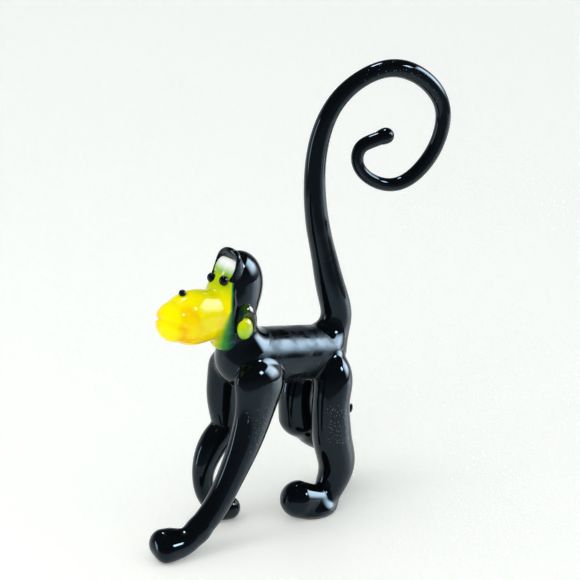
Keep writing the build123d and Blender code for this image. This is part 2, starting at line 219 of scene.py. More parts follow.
def rod(rows, side, caps=(1.0, 1.0)):
    """A rod of glass through rows of x, y, z, half width along side, and half depth.

    Its ends are rounded over by their caps, as shares of the radius there.
    """
    rows = np.array(rows, float)
    side = np.array(side, float)
    along, length = flowing(rows)
    samples = np.linspace(0, length, max(ROD_SAMPLES, int(length / ROD_SPACING)))
    line = along(samples)[0][:, :3]

    def distance(points):
        nearest = np.empty(len(points), int)
        squares = (line ** 2).sum(1)
        for start in range(0, len(points), POINTS_AT_ONCE):
            part = slice(start, start + POINTS_AT_ONCE)
            nearest[part] = np.argmin(squares - 2 * points[part] @ line.T, axis=1)
        places = samples[nearest]
        widest_step = samples[1]
        for _ in range(NEAREST_ROUNDS):
            value, first, second = along(places)
            gap = value[:, :3] - points
            slope = (gap * first[:, :3]).sum(1)
            curve = (first[:, :3] ** 2).sum(1) + (gap * second[:, :3]).sum(1)
            step = slope / np.maximum(curve, LEAST_BEND)
            places = np.clip(places - np.clip(step, -widest_step, widest_step), 0, length)
        value, first, second = along(places)
        forward = first[:, :3] / np.linalg.norm(first[:, :3], axis=1, keepdims=True)
        across = side - forward * (forward @ side)[:, None]
        across /= np.linalg.norm(across, axis=1, keepdims=True)
        over = np.cross(forward, across)
        offset = points - value[:, :3]
        wide, deep = value[:, 3], value[:, 4]
        cap = np.where(places < length / 2, caps[0], caps[1]) * (wide + deep) / 2
        parts = [
            ((offset * across).sum(1), wide),
            ((offset * over).sum(1), deep),
            ((offset * forward).sum(1), cap),
        ]
        near = np.sqrt(sum((part / radius) ** 2 for part, radius in parts)) + TINY
        far = np.sqrt(sum((part / radius ** 2) ** 2 for part, radius in parts)) + TINY
        return near * (near - 1) / far

    reach = rows[:, 3:].max() * max(1.0, *caps)
    return Form(distance, line.min(0) - reach, line.max(0) + reach)


def egg(middle, halves, turn=0.0, tip=0.0):
    """An egg of glass with its own half sizes, turned about the vertical and tipped forward."""
    middle = np.array(middle, float)
    halves = np.array(halves, float)
    angle, lean = math.radians(turn), math.radians(tip)
    upright = np.array([
        (math.cos(angle), math.sin(angle), 0),
        (-math.sin(angle), math.cos(angle), 0),
        (0, 0, 1),
    ])
    leaning = np.array([
        (1, 0, 0),
        (0, math.cos(lean), math.sin(lean)),
        (0, -math.sin(lean), math.cos(lean)),
    ])
    axes = leaning @ upright

    def distance(points):
        local = (points - middle) @ axes.T
        near = np.sqrt(((local / halves) ** 2).sum(1)) + TINY
        far = np.sqrt(((local / halves ** 2) ** 2).sum(1)) + TINY
        return near * (near - 1) / far

    reach = halves.max()
    return Form(distance, middle - reach, middle + reach)


def fillet(one, other, soft):
    """How far glass flows out, or is rounded off, where two distances are soft or less apart."""
    share = np.maximum(soft - np.abs(one - other), 0) / soft
    return share ** 2 * soft / 4


def melted(first, second, soft):
    """Two bodies of glass melted together, with a fillet that is soft millimetres wide."""
    def distance(points):
        one, other = first.distance(points), second.distance(points)
        return np.minimum(one, other) - fillet(one, other, soft)

    return Form(distance, np.minimum(first.low, second.low), np.maximum(first.high, second.high))


def pressed(first, tool, soft):
    """A body of glass with a tool pressed into it, its edge rounded over soft millimetres."""
    def distance(points):
        one, other = first.distance(points), -tool.distance(points)
        return np.maximum(one, other) + fillet(one, other, soft)

    return Form(distance, first.low, first.high)


def sliced(form, middle, way, soft):
    """A body of glass pressed flat where it stands out past a plane."""
    def distance(points):
        one, other = form.distance(points), (points - middle) @ way
        return np.maximum(one, other) + fillet(one, other, soft)

    return Form(distance, form.low, form.high)


def grounded(form):
    """A body of glass that stands flat on the floor."""
    def distance(points):
        return np.maximum(form.distance(points), -points[:, 2])

    return Form(distance, np.maximum(form.low, (-1e3, -1e3, -0.3)), form.high)


def fused(own, neighbours, soft):
    """A piece with its skirt drawn out over its neighbours, until it dips just under them."""
    def distance(points):
        mine = own.distance(points)
        total = mine
        for neighbour in neighbours:
            other = neighbour.distance(points) + SKIRT_DIP
            total = np.minimum(total, other) - fillet(total, other, soft)
        return np.maximum(total, mine - soft - SKIRT_REST)

    return Form(distance, own.low - soft, own.high + soft)


def sampled(form, low, step):
    """A form's distances on a grid from its low corner, filled in near the surface only."""
    cells = np.ceil((form.high - form.low + 4 * step) / (step * BLOCK)).astype(int)
    axis = [low[side] + step * (np.arange(cells[side]) * BLOCK + (BLOCK - 1) / 2)
            for side in range(3)]
    middles = np.stack(np.meshgrid(*axis, indexing="ij"), -1).reshape(-1, 3)
    coarse = form.distance(middles)
    near = np.abs(coarse) < NEAR_BLOCKS * step * BLOCK
    values = np.repeat(coarse[:, None], BLOCK ** 3, axis=1)
    inner = (np.arange(BLOCK) - (BLOCK - 1) / 2) * step
    inner = np.stack(np.meshgrid(inner, inner, inner, indexing="ij"), -1).reshape(-1, 3)
    fine = (middles[near][:, None] + inner[None]).reshape(-1, 3)
    values[near] = form.distance(fine).reshape(-1, BLOCK ** 3)
    values = values.reshape(*cells, BLOCK, BLOCK, BLOCK).transpose(0, 3, 1, 4, 2, 5)
    return values.reshape(cells * BLOCK)


def net_of(values):
    """Points, in steps of the grid, and quads of the net where its values pass through zero."""
    counts = values.shape
    inside = values < 0
    corners = [(a, b, c) for a in (0, 1) for b in (0, 1) for c in (0, 1)]

    def corner(grid, shift):
        """The grid's values at one corner of each cell."""
        return grid[tuple(slice(move, count - 1 + move) for move, count in zip(shift, counts))]

    filled = sum(corner(inside, shift).astype(int) for shift in corners)
    split = (filled > 0) & (filled < 8)
    numbers = np.full(split.shape, -1)
    numbers[split] = np.arange(split.sum())
    total = np.zeros((split.sum(), 3))
    crossings = np.zeros(split.sum())
    for shift in corners:
        for side in range(3):
            if shift[side]:
                continue
            other = tuple(1 if place == side else move for place, move in enumerate(shift))
            start = corner(values, shift)[split]
            end = corner(values, other)[split]
            crosses = (start < 0) != (end < 0)
            share = np.where(crosses, start / np.where(crosses, start - end, 1), 0)
            spot = np.tile(np.array(shift, float), (len(start), 1))
            spot[:, side] += share
            total[crosses] += spot[crosses]
            crossings += crosses
    spots = np.stack(np.nonzero(split), -1) + total / crossings[:, None]

    quads = []
    for side in range(3):
        one, two = (side + 1) % 3, (side + 2) % 3
        here = [slice(1, count - 1) for count in counts]
        there = list(here)
        here[side], there[side] = slice(0, counts[side] - 1), slice(1, counts[side])
        start, end = inside[tuple(here)], inside[tuple(there)]
        for leaving in (True, False):
            edges = np.stack(np.nonzero(start & ~end if leaving else ~start & end), -1)
            edges[:, one] += 1
            edges[:, two] += 1
            ring = []
            for move_one, move_two in ((1, 1), (0, 1), (0, 0), (1, 0)):
                cell = edges.copy()
                cell[:, one] -= move_one
                cell[:, two] -= move_two
                ring.append(numbers[cell[:, 0], cell[:, 1], cell[:, 2]])
            quads.append(np.stack(ring if leaving else ring[::-1], -1))
    return spots, np.concatenate(quads)


def slope_of(form, points, reach):
    """Which way, and how steeply, a form's distance grows at some points."""
    moves = np.eye(3) * reach
    return np.stack(
        [form.distance(points + move) - form.distance(points - move) for move in moves], -1
    ) / (2 * reach)


def skin(name, form, step=SKIN_SPACING):
    """A mesh object over a form: a net of quads that is settled onto its surface."""
    low = form.low - 2 * step
    spots, quads = net_of(sampled(form, low, step))
    verts = low + spots * step
    for reach in SETTLE_REACHES:
        slope = slope_of(form, verts, reach)
        steepness = np.maximum((slope ** 2).sum(1, keepdims=True), LEAST_STEEPNESS)
        move = form.distance(verts)[:, None] * slope / steepness
        verts = verts - np.clip(move, -step, step)
    normals = slope_of(form, verts, NORMAL_REACH)
    for _ in range(NORMAL_ROUNDS):
        normals /= np.maximum(np.linalg.norm(normals, axis=1, keepdims=True), TINY)
        around = normals[quads].sum(1)
        for place in range(4):
            for side in range(3):
                normals[:, side] += np.bincount(
                    quads[:, place], around[:, side], len(normals)) / 8
    normals /= np.maximum(np.linalg.norm(normals, axis=1, keepdims=True), TINY)

    mesh = bpy.data.meshes.new(name)
    mesh.from_pydata(verts * MM, [], quads.tolist())
    mesh.update()
    mesh.polygons.foreach_set("use_smooth", [True] * len(mesh.polygons))
    mesh.normals_split_custom_set_from_vertices(normals.tolist())
    piece = bpy.data.objects.new(name, mesh)
    bpy.context.scene.collection.objects.link(piece)
    return piece


def add_node(tree, kind, settings=None, inputs=None):
    """Adds a node with its settings. An input is set to a value or linked to a socket."""
    node = tree.nodes.new(kind)
    for key, value in (settings or {}).items():
        setattr(node, key, value)
    for key, value in (inputs or {}).items():
        if isinstance(value, bpy.types.NodeSocket):
            tree.links.new(value, node.inputs[key])
        else:
            node.inputs[key].default_value = value
    return node


def finish_piece(piece, material, slot, *nodes):
    """Gives a piece its material and its place on the body, and hides the CAD nodes that it stands
    for.
    """
    piece.data.materials.clear()
    piece.data.materials.append(material)
    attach(piece, "root")
    if nodes:
        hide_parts(*nodes)


# Rows of shares that the limbs pass through. Arms: forward share of the reach, height share of
# the shoulders, side share of the stance, shares of the shoulder's half width and half depth
LEFT_ARM_SHARES = (
    (-0.010, 1.000, 0.50, 0.60, 0.50),
    (0.005, 0.950, 0.86, 1.00, 1.04),
    (0.050, 0.820, 1.02, 1.00, 1.03),
    (0.172, 0.600, 1.03, 0.94, 0.72),
    (0.350, 0.390, 0.98, 0.90, 0.53),
    (0.530, 0.220, 0.90, 0.83, 0.49),
    (0.680, 0.130, 0.83, 0.82, 0.48),
)
NEAR_PAW_SHARES = (
    (0.680, 0.130, 0.84, 0.76, 0.46),
    (0.800, 0.085, 0.88, 0.72, 0.46),
    (0.920, 0.066, 0.92, 0.62, 0.42),
    (1.035, 0.060, 0.88, 0.58, 0.39),
)
FAR_PAW_SHARES = (
    (0.790, 0.092, 0.62, 0.46, 0.30),
    (0.890, 0.090, 0.52, 0.82, 0.52),
    (0.985, 0.084, 0.47, 1.00, 0.61),
)
RIGHT_UPPER_ARM_SHARES = (
    (-0.020, 1.000, -0.50, 0.60, 0.50),
    (0.000, 0.950, -0.88, 1.00, 0.80),
    (0.100, 0.860, -1.02, 1.03, 0.76),
    (0.150, 0.760, -1.04, 1.03, 0.72),
    (0.100, 0.640, -1.04, 1.00, 0.66),
    (0.050, 0.540, -1.03, 0.93, 0.56),
)
RIGHT_FOREARM_SHARES = (
    (-0.050, 0.560, -1.03, 0.86, 0.50),
    (0.420, 0.490, -1.05, 0.98, 0.58),
    (0.830, 0.390, -1.06, 0.88, 0.52),
    (1.000, 0.275, -1.05, 0.71, 0.42),
    (0.900, 0.180, -1.02, 0.69, 0.41),
    (0.700, 0.118, -0.98, 0.73, 0.43),
)
RIGHT_PAW_SHARES = (
    (0.700, 0.064, -0.98, 0.68, 0.40),
    (0.430, 0.064, -0.85, 0.76, 0.45),
    (0.165, 0.064, -0.79, 0.80, 0.48),
)

# Legs: ahead share of the reach from the hips, height share of the hips, side share of the
# stance, share of the thigh's radius
LEFT_LEG_SHARES = (
    (-0.08, 0.990, 0.50, 0.70),
    (0.00, 0.900, 0.86, 0.97),
    (0.12, 0.740, 0.98, 0.98),
    (0.13, 0.590, 0.98, 1.02),
    (0.04, 0.435, 0.96, 1.02),
    (-0.07, 0.280, 0.94, 0.95),
    (0.02, 0.190, 0.92, 0.84),
    (0.22, 0.100, 0.90, 0.72),
)
LEFT_FOOT_SHARES = (
    (0.28, 0.080, 0.90, 0.66),
    (0.60, 0.092, 0.90, 0.78),
    (1.02, 0.116, 0.80, 0.98),
)
RIGHT_THIGH_SHARES = (
    (-0.13, 0.970, -0.50, 0.70),
    (-0.03, 0.860, -0.86, 0.98),
    (0.17, 0.690, -0.90, 0.98),
    (0.14, 0.530, -0.90, 1.04),
)
RIGHT_SHIN_SHARES = (
    (0.05, 0.500, -0.90, 0.85),
    (-0.35, 0.400, -0.88, 0.93),
    (-0.78, 0.300, -0.87, 0.82),
    (-0.98, 0.190, -0.86, 0.70),
    (-0.98, 0.090, -0.84, 0.68),
)
RIGHT_FOOT_SHARES = (
    (-0.98, 0.081, -0.84, 0.60),
    (-0.72, 0.081, -0.53, 0.63),
    (-0.46, 0.081, -0.21, 0.72),
)

# The tail: back share of its reach, up share of its rise, share of its root's radius
TAIL_SHARES = (
    (-0.120, -0.075, 0.80),
    (0.020, 0.020, 1.00),
    (-0.020, 0.160, 1.00),
    (-0.085, 0.285, 0.88),
    (-0.145, 0.410, 0.81),
    (-0.180, 0.570, 0.75),
    (-0.135, 0.755, 0.67),
    (0.005, 0.885, 0.61),
    (0.235, 0.968, 0.58),
    (0.540, 1.000, 0.61),
    (0.835, 0.945, 0.61),
    (1.015, 0.820, 0.54),
    (0.985, 0.715, 0.51),
    (0.845, 0.615, 0.52),
    (0.600, 0.550, 0.47),
    (0.370, 0.572, 0.43),
    (0.215, 0.665, 0.43),
    (0.250, 0.708, 0.46),
    (0.335, 0.726, 0.48),
    (0.430, 0.737, 0.48),
)
# The tail's plane is turned to one side: the way back in it, and the way across it
TAIL_TURN = math.radians(20)
TAIL_BACK = np.array((math.sin(TAIL_TURN), math.cos(TAIL_TURN), 0))
TAIL_SIDE = np.array((math.cos(TAIL_TURN), -math.sin(TAIL_TURN), 0))
TAIL_STEPS = 420
# How much thicker, in millimetres, its root is melted over its first rows
ROOT_SWELLS = (0.06, 0.06, 0.05, 0.02, -0.15)

# The head is turned as well: the ways ahead and to its left, and how far it stands, in
# millimetres, ahead of the shoulders
HEAD_TURN = math.radians(4)
HEAD_WAY = np.array((math.sin(HEAD_TURN), -math.cos(HEAD_TURN), 0))
HEAD_SIDE = np.array((math.cos(HEAD_TURN), math.sin(HEAD_TURN), 0))
HEAD_AHEAD = 1.2
# The middle of the forehead's slope on the head, in millimetres, and how far it leans back
FOREHEAD = (4.2, 0, 5.1)
FOREHEAD_LEAN = math.radians(34)

LEFT = np.array((1.0, 0.0, 0.0))
UP = np.array((0.0, 0.0, 1.0))
trunk_low, trunk_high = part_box("torso")
MIDDLE_SHIFT = (trunk_low[0] + trunk_high[0]) / 2 / MM


class Body:
    """The monkey's forms, worked out from its sizes."""

    def __init__(self, sizes):
        self.sizes = sizes
        self.rump = self.point(-mm(sizes.trunk_length), 0, mm(sizes.hip_height))
        self.chest = self.point(0, 0, mm(sizes.shoulder_height))
        self.trunk = self.make_trunk()
        self.left_arm = self.arm(LEFT_ARM_SHARES, sizes.arm_reach)
        self.near_paw = self.arm(NEAR_PAW_SHARES, sizes.arm_reach, caps=(1, 0.95))
        self.far_paw = self.arm(FAR_PAW_SHARES, sizes.arm_reach, caps=(1, 0.95))
        self.right_upper_arm = self.arm(RIGHT_UPPER_ARM_SHARES, sizes.elbow_reach, caps=(1, 0.5))
        self.right_forearm = self.arm(RIGHT_FOREARM_SHARES, sizes.elbow_reach, caps=(0.6, 1))
        self.right_paw = self.arm(RIGHT_PAW_SHARES, sizes.elbow_reach)
        self.left_leg = self.leg(LEFT_LEG_SHARES, sizes.foot_length)
        self.left_foot = self.leg(LEFT_FOOT_SHARES, sizes.foot_length)
        self.nib = egg(self.point(-25.7, 5.6, 22.4), (0.5, 0.45, 1.1), 0, -12)
        self.heel = egg(self.point(-15.4, 6.5, 1.3), (3.2, 5.0, 2.3))
        self.right_thigh = self.leg(RIGHT_THIGH_SHARES, sizes.leg_trail)
        self.right_shin = self.leg(RIGHT_SHIN_SHARES, sizes.leg_trail)
        self.right_foot = self.leg(RIGHT_FOOT_SHARES, sizes.leg_trail)
        self.tail_rows = self.make_tail_rows()
        self.tail = rod(self.tail_rows, TAIL_SIDE)
        root_rows = [(*row[:3], row[3] + more, row[4] + more)
                     for row, more in zip(self.tail_rows, ROOT_SWELLS)]
        self.tail_root = rod(root_rows, TAIL_SIDE)
        self.make_head()

    def point(self, forward, side, up):
        """A point ahead of the shoulders, to the animal's left, above the floor."""
        return np.array((side + MIDDLE_SHIFT, -forward - mm(self.sizes.shoulder_ahead), up))

    def make_trunk(self):
        """The trunk, one gather from the rump up to the shoulders."""
        sizes = self.sizes
        rows = []
        for share, radius in ((0, sizes.rump_radius), (0.5, sizes.waist_radius),
                              (1, sizes.chest_radius)):
            middle = self.rump + (self.chest - self.rump) * share
            rows.append((*middle, mm(radius), mm(radius)))
        return rod(rows, LEFT)

    def arm(self, shares, reach, caps=(1, 1)):
        """A length of an arm through its rows of shares."""
        sizes = self.sizes
        rows = [
            (*self.point(forward * mm(reach), across * mm(sizes.stance),
                         up * mm(sizes.shoulder_height)),
             wide * mm(sizes.shoulder_width), deep * mm(sizes.shoulder_depth))
            for forward, up, across, wide, deep in shares
        ]
        return rod(rows, LEFT, caps)

    def leg(self, shares, reach):
        """A length of a leg through its rows of shares."""
        sizes = self.sizes
        rows = [
            (*self.point(ahead * mm(reach) - mm(sizes.trunk_length), across * mm(sizes.stance),
                         up * mm(sizes.hip_height)),
             full * mm(sizes.thigh_radius), full * mm(sizes.thigh_radius))
            for ahead, up, across, full in shares
        ]
        return rod(rows, LEFT)

    def make_tail_rows(self):
        """The tail's middle line and radius, in its own upright plane."""
        sizes = self.sizes
        radius = mm(sizes.rump_radius) * math.cos(math.radians(45))
        root = self.rump + np.array((0, radius, radius))
        return [
            (*(root + TAIL_BACK * back * mm(sizes.tail_reach) + UP * up * mm(sizes.tail_rise)),
             full * mm(sizes.tail_radius), full * mm(sizes.tail_radius))
            for back, up, full in TAIL_SHARES
        ]

    def head_point(self, forward, side, up):
        """A point ahead of the head's middle, to its left, above its middle."""
        middle = self.point(HEAD_AHEAD, 0, mm(self.sizes.head_height))
        return middle + HEAD_WAY * forward + HEAD_SIDE * side + UP * up

    def head_rod(self, rows, caps=(1, 1)):
        """A rod through rows of forward, side, up, half width and half depth on the head."""
        return rod([(*self.head_point(*row[:3]), *row[3:]) for row in rows], HEAD_SIDE, caps)

    def make_head(self):
        """The head's forms."""
        turn = math.degrees(HEAD_TURN)
        self.neck = self.head_rod((
            (-1.2, 0, -17.2, 4.4, 5.5),
            (0.3, 0, -12.5, 4.3, 4.7),
            (1.4, 0, -7.8, 4.1, 4.5),
            (1.7, 0, -3.8, 3.6, 4.3),
        ))
        hood = egg(self.head_point(0.9, 0, 0), (4.7, 6.4, 7.5), turn)
        forehead = self.head_point(*FOREHEAD)
        out = self.slope_way(0, 0, 1)
        self.hood = sliced(hood, forehead - out * 0.5, out, 0.8)
        self.face = self.head_rod((
            (5.2, 0, -11.0, 3.0, 2.6),
            (5.6, 0, -9.0, 3.8, 3.1),
            (5.9, 0, -5.0, 4.2, 3.2),
            (5.6, 0, -1.5, 4.1, 2.8),
            (4.7, 0, 1.0, 3.8, 2.4),
            (3.6, 0, 2.9, 3.4, 2.1),
            (2.6, 0, 4.7, 3.1, 1.9),
            (2.2, 0, 5.5, 2.8, 1.6),
        ), caps=(1, 0.7))
        self.muzzle = self.head_rod((
            (5.5, 0, -4.9, 4.1, 5.3),
            (9.0, 0, -4.8, 4.5, 5.5),
            (13.0, 0, -4.3, 4.8, 6.0),
            (16.5, 0, -3.9, 4.8, 5.5),
            (19.0, 0, -3.8, 4.1, 4.4),
        ), caps=(1, 0.9))
        self.mouth = self.head_rod((
            (18.2, 4.7, -4.5, 0.4, 0.35),
            (20.7, 3.7, -3.6, 0.6, 0.45),
            (22.1, 2.3, -2.8, 0.6, 0.45),
            (22.7, 0, -2.3, 0.6, 0.45),
            (22.1, -2.3, -2.8, 0.6, 0.45),
            (20.7, -3.7, -3.6, 0.6, 0.45),
            (18.2, -4.7, -4.5, 0.4, 0.35),
        ))
        self.brow = self.slope_rod((
            (-2.8, -2.2, -0.8, 0.9, 0.28),
            (-2.7, 0.3, -0.6, 1.0, 0.32),
            (-1.8, 2.2, -0.1, 1.2, 0.50),
            (0.3, 2.8, 0.4, 1.50, 0.75),
            (2.9, 2.1, 0.1, 1.35, 0.70),
            (3.5, 0.0, -0.6, 1.0, 0.45),
            (2.9, -2.6, -0.8, 0.7, 0.32),
        ), self.slope_way(0, 0.57, 0.82))
        self.patch = self.slope_rod((
            (-2.6, -0.1, -0.35, 1.9, 0.45),
            (-1.3, -0.2, 0.05, 2.0, 0.45),
            (0.2, -0.25, 0.2, 2.05, 0.45),
            (1.7, -0.3, 0.05, 2.0, 0.45),
            (2.8, -0.4, -0.35, 1.9, 0.45),
        ), self.slope_way(0, 1, 0), caps=(0.4, 0.4))
        eye = np.array((1.08, 1.0, 1.1)) * mm(self.sizes.eye_radius)
        self.eyes = [egg(self.head_point(*place), eye)
                     for place in ((6.5, 1.95, 2.7), (6.3, -2.0, 2.35))]
        nose = np.array((1.0, 1.0, 0.95)) * mm(self.sizes.nose_radius)
        self.nose = egg(self.head_point(16.5, 0, 1.95), nose)
        self.ears = []
        self.lobes = []
        for side in (1, -1):
            shell = egg(self.head_point(2.4, side * 4.5, -6.8), (1.8, 2.7, 3.9), turn)
            tool = egg(self.head_point(3.3, side * 6.9, -7.2), (1.9, 1.9, 3.1), turn)
            self.ears.append(pressed(shell, tool, 0.4))
            self.lobes.append(
                egg(self.head_point(3.5, side * 5.3, -8.0), (1.3, 2.0, 2.4), turn))

    def slope_way(self, side, up, out):
        """A direction on the forehead's slope: to the left, up the slope, and out of it."""
        level, rise = math.cos(FOREHEAD_LEAN), math.sin(FOREHEAD_LEAN)
        forward = level * out - rise * up
        high = rise * out + level * up
        return self.head_point(forward, side, high) - self.head_point(0, 0, 0)

    def slope_rod(self, rows, side, caps=(1, 1)):
        """A rod through rows of side, up the slope, out of it, half width and half depth."""
        middle = self.head_point(*FOREHEAD)
        return rod([(*(middle + self.slope_way(*row[:3])), *row[3:]) for row in rows], side, caps)


def body_of(context):
    """The forms for the sizes that are set."""
    return Body(context.scene.monkey_sizes)


# Soda-lime glass, and the fire-polished surface of two rods: roughness, share of light that is
# reflected, and the tint of reflections, which black glass turns a little blue
GLASS_IOR = 1.52
BLACK_FINISH = (0.04, 0.36, (0.48, 0.70, 0.88, 1))
YELLOW_FINISH = (0.07, 0.12)


def glass(name, rough, shine=0.5, tint=(1, 1, 1, 1)):
    """An empty fire-polished glass material: its tree, shader and coordinates in millimetres."""
    material = bpy.data.materials.new(name)
    material.use_nodes = True
    tree = material.node_tree
    tree.nodes.clear()
    shader = add_node(tree, "ShaderNodeBsdfPrincipled", inputs={
        "Roughness": rough, "IOR": GLASS_IOR, "Specular IOR Level": shine, "Specular Tint": tint,
    })
    add_node(tree, "ShaderNodeOutputMaterial", inputs={"Surface": shader.outputs["BSDF"]})
    place = add_node(tree, "ShaderNodeTexCoord")
    scaled = add_node(tree, "ShaderNodeVectorMath", {"operation": "SCALE"}, {
        0: place.outputs["Object"], "Scale": 1 / MM,
    })
    return material, tree, shader, scaled.outputs["Vector"]


def ripple(tree, shader, place, scale, depth):
    """Slow waves that the flame leaves in a surface, depth in millimetres."""
    noise = add_node(tree, "ShaderNodeTexNoise", inputs={
        "Vector": place, "Scale": scale, "Detail": 1.0,
    })
    bump = add_node(tree, "ShaderNodeBump", inputs={
        "Strength": 1.0, "Distance": depth * MM, "Height": noise.outputs["Fac"],
    })
    tree.links.new(bump.outputs["Normal"], shader.inputs["Normal"])


def ramp(tree, value, stops):
    """Colours over a value in millimetres, from the first stop to the last."""
    first, last = stops[0][0], stops[-1][0]
    share = add_node(tree, "ShaderNodeMapRange", inputs={
        "Value": value, "From Min": first, "From Max": last,
    })
    node = add_node(tree, "ShaderNodeValToRGB", inputs={"Fac": share.outputs["Result"]})
    elements = node.color_ramp.elements
    elements[0].color, elements[1].color = stops[0][1], stops[-1][1]
    for place, code in stops[1:-1]:
        elements.new((place - first) / (last - first)).color = code
    return node.outputs["Color"]


def head_place(tree):
    """A vertex's place on the head: ahead, to the left and up, in millimetres."""
    mark = add_node(tree, "ShaderNodeAttribute", {"attribute_name": "head"})
    split = add_node(tree, "ShaderNodeSeparateXYZ", inputs={"Vector": mark.outputs["Vector"]})
    return split.outputs["X"], split.outputs["Y"], split.outputs["Z"]


def thinned(tree, place, front, colours):
    """A colour that thins out over black glass toward the back of the head."""
    ahead, left, up = head_place(tree)
    # How far ahead the spot is, less so beside the middle, with ragged streaks
    streaks = add_node(tree, "ShaderNodeTexNoise", inputs={
        "Vector": place, "Scale": 0.45, "Detail": 2.0,
    })
    beside = add_node(tree, "ShaderNodeMath", {"operation": "ABSOLUTE"}, {0: left})
    reach = add_node(tree, "ShaderNodeMath", SCALE_AND_ADD, {
        0: beside.outputs[0], 1: -1.2, 2: ahead,
    })
    reach = add_node(tree, "ShaderNodeMath", SCALE_AND_ADD, {
        0: streaks.outputs["Fac"], 1: 0.7, 2: reach.outputs[0],
    })
    over = add_node(tree, "ShaderNodeMath", {"operation": "ADD"},
                    {0: reach.outputs[0], 1: -1.0})
    # The colour thickens over a few millimetres, and more slowly down at the throat
    width = add_node(tree, "ShaderNodeMapRange", inputs={
        "Value": up, "From Min": -3.5, "From Max": -12.0, "To Min": 1.2, "To Max": 9.0,
    })
    thick = add_node(tree, "ShaderNodeMath", {"operation": "DIVIDE"},
                     {0: over.outputs[0], 1: width.outputs[0]})
    edge = ramp(tree, thick.outputs[0], (
        (-0.1, colours.black), (0.12, colours.teal), (0.45, colours.leaf), (0.8, colours.lime)))
    share = add_node(tree, "ShaderNodeMapRange", inputs={
        "Value": thick.outputs[0], "From Min": 0.65, "From Max": 1.15,
    })
    # Over the brow's line the front turns lime
    rise = add_node(tree, "ShaderNodeMath", SCALE_AND_ADD, {0: ahead, 1: -0.35, 2: up})
    high = add_node(tree, "ShaderNodeMapRange", inputs={
        "Value": rise.outputs[0], "From Min": -4.2, "From Max": -0.6,
    })
    front = add_node(tree, "ShaderNodeMix", COLOUR_MIX, {
        0: high.outputs["Result"], 6: front, 7: linear("#B4CC12"),
    })
    return add_node(tree, "ShaderNodeMix", COLOUR_MIX, {
        0: share.outputs["Result"], 6: edge, 7: front.outputs[2],
    }).outputs[2]


def black_glass(colours):
    """Opaque black soda-lime glass, drawn and fire polished: slow waves bend its highlights."""
    material, tree, shader, place = glass("Black soda-lime glass, fire polished", *BLACK_FINISH)
    shader.inputs["Base Color"].default_value = colours.black
    ripple(tree, shader, place, 0.13, 0.15)
    return material


def trunk_glass(colours):
    """The same black glass, hazed by the flame in blotches that blur and dim its highlights."""
    material, tree, shader, place = glass("Black soda-lime glass, hazed", *BLACK_FINISH)
    shader.inputs["Base Color"].default_value = colours.black
    clouds = add_node(tree, "ShaderNodeTexNoise", inputs={
        "Vector": place, "Scale": 0.22, "Detail": 2.0,
    })
    haze = add_node(tree, "ShaderNodeMapRange", inputs={
        "Value": clouds.outputs["Fac"], "From Min": 0.4, "From Max": 0.6, "To Min": 0.08,
        "To Max": 0.42,
    })
    tree.links.new(haze.outputs["Result"], shader.inputs["Roughness"])
    ripple(tree, shader, place, 0.11, 0.3)
    return material


def foot_glass(colours):
    """The same black glass, with a painted reflection of the pale floor: brownish grey at the
    sole.
    """
    material, tree, shader, place = glass(
        "Black soda-lime glass, painted floor reflection at the sole", *BLACK_FINISH)
    split = add_node(tree, "ShaderNodeSeparateXYZ", inputs={"Vector": place})
    # The bottom of the foot is painted brownish grey: a painted reflection of the pale floor on
    # the sole
    code = ramp(tree, split.outputs["Z"], (
        (0.0, linear("#6A625C")), (0.7, linear("#4C4A4A")), (1.2, colours.black)))
    tree.links.new(code, shader.inputs["Base Color"])
    ripple(tree, shader, place, 0.13, 0.15)
    return material


def muzzle_glass(colours):
    """Opaque yellow glass with cadmium, which the flame turned amber in soft clouds."""
    material, tree, shader, place = glass(
        "Yellow cadmium glass, with amber clouds", *YELLOW_FINISH)
    up = head_place(tree)[2]
    clouds = add_node(tree, "ShaderNodeTexNoise", inputs={
        "Vector": place, "Scale": 0.17, "Detail": 2.0, "Distortion": 0.4,
    })
    low = add_node(tree, "ShaderNodeMath", SCALE_AND_ADD, {
        0: up, 1: -0.03, 2: clouds.outputs["Fac"],
    })
    code = ramp(tree, low.outputs[0], (
        (0.6, colours.yellow), (0.85, colours.amber), (1.1, linear("#F8AE00"))))
    tree.links.new(thinned(tree, place, code, colours), shader.inputs["Base Color"])
    ripple(tree, shader, place, 0.2, 0.015)
    return material


def face_glass(colours):
    """Yellow glass melted thin over black: lime and leaf green where the black shows through."""
    material, tree, shader, place = glass("Yellow glass melted over black", *YELLOW_FINISH)
    tree.links.new(thinned(tree, place, colours.yellow, colours), shader.inputs["Base Color"])
    ripple(tree, shader, place, 0.2, 0.015)
    return material


def patch_glass(colours):
    """Opaque white glass that thins out downward over green and yellow."""
    material, tree, shader, place = glass("White opal glass melted over green", 0.08)
    left, up = head_place(tree)[1:]
    streaks = add_node(tree, "ShaderNodeTexNoise", inputs={
        "Vector": place, "Scale": 0.6, "Detail": 3.0,
    })
    high = add_node(tree, "ShaderNodeMath", SCALE_AND_ADD, {
        0: streaks.outputs["Fac"], 1: 1.0, 2: up,
    })
    high = add_node(tree, "ShaderNodeMath", SCALE_AND_ADD, {
        0: left, 1: 0.12, 2: high.outputs[0],
    })
    code = ramp(tree, high.outputs[0], (
        (4.2, linear("#A9C41A")), (4.7, linear("#8FBF4A")), (5.4, linear("#C6DDB4")),
        (6.2, colours.white)))
    tree.links.new(code, shader.inputs["Base Color"])
    return material


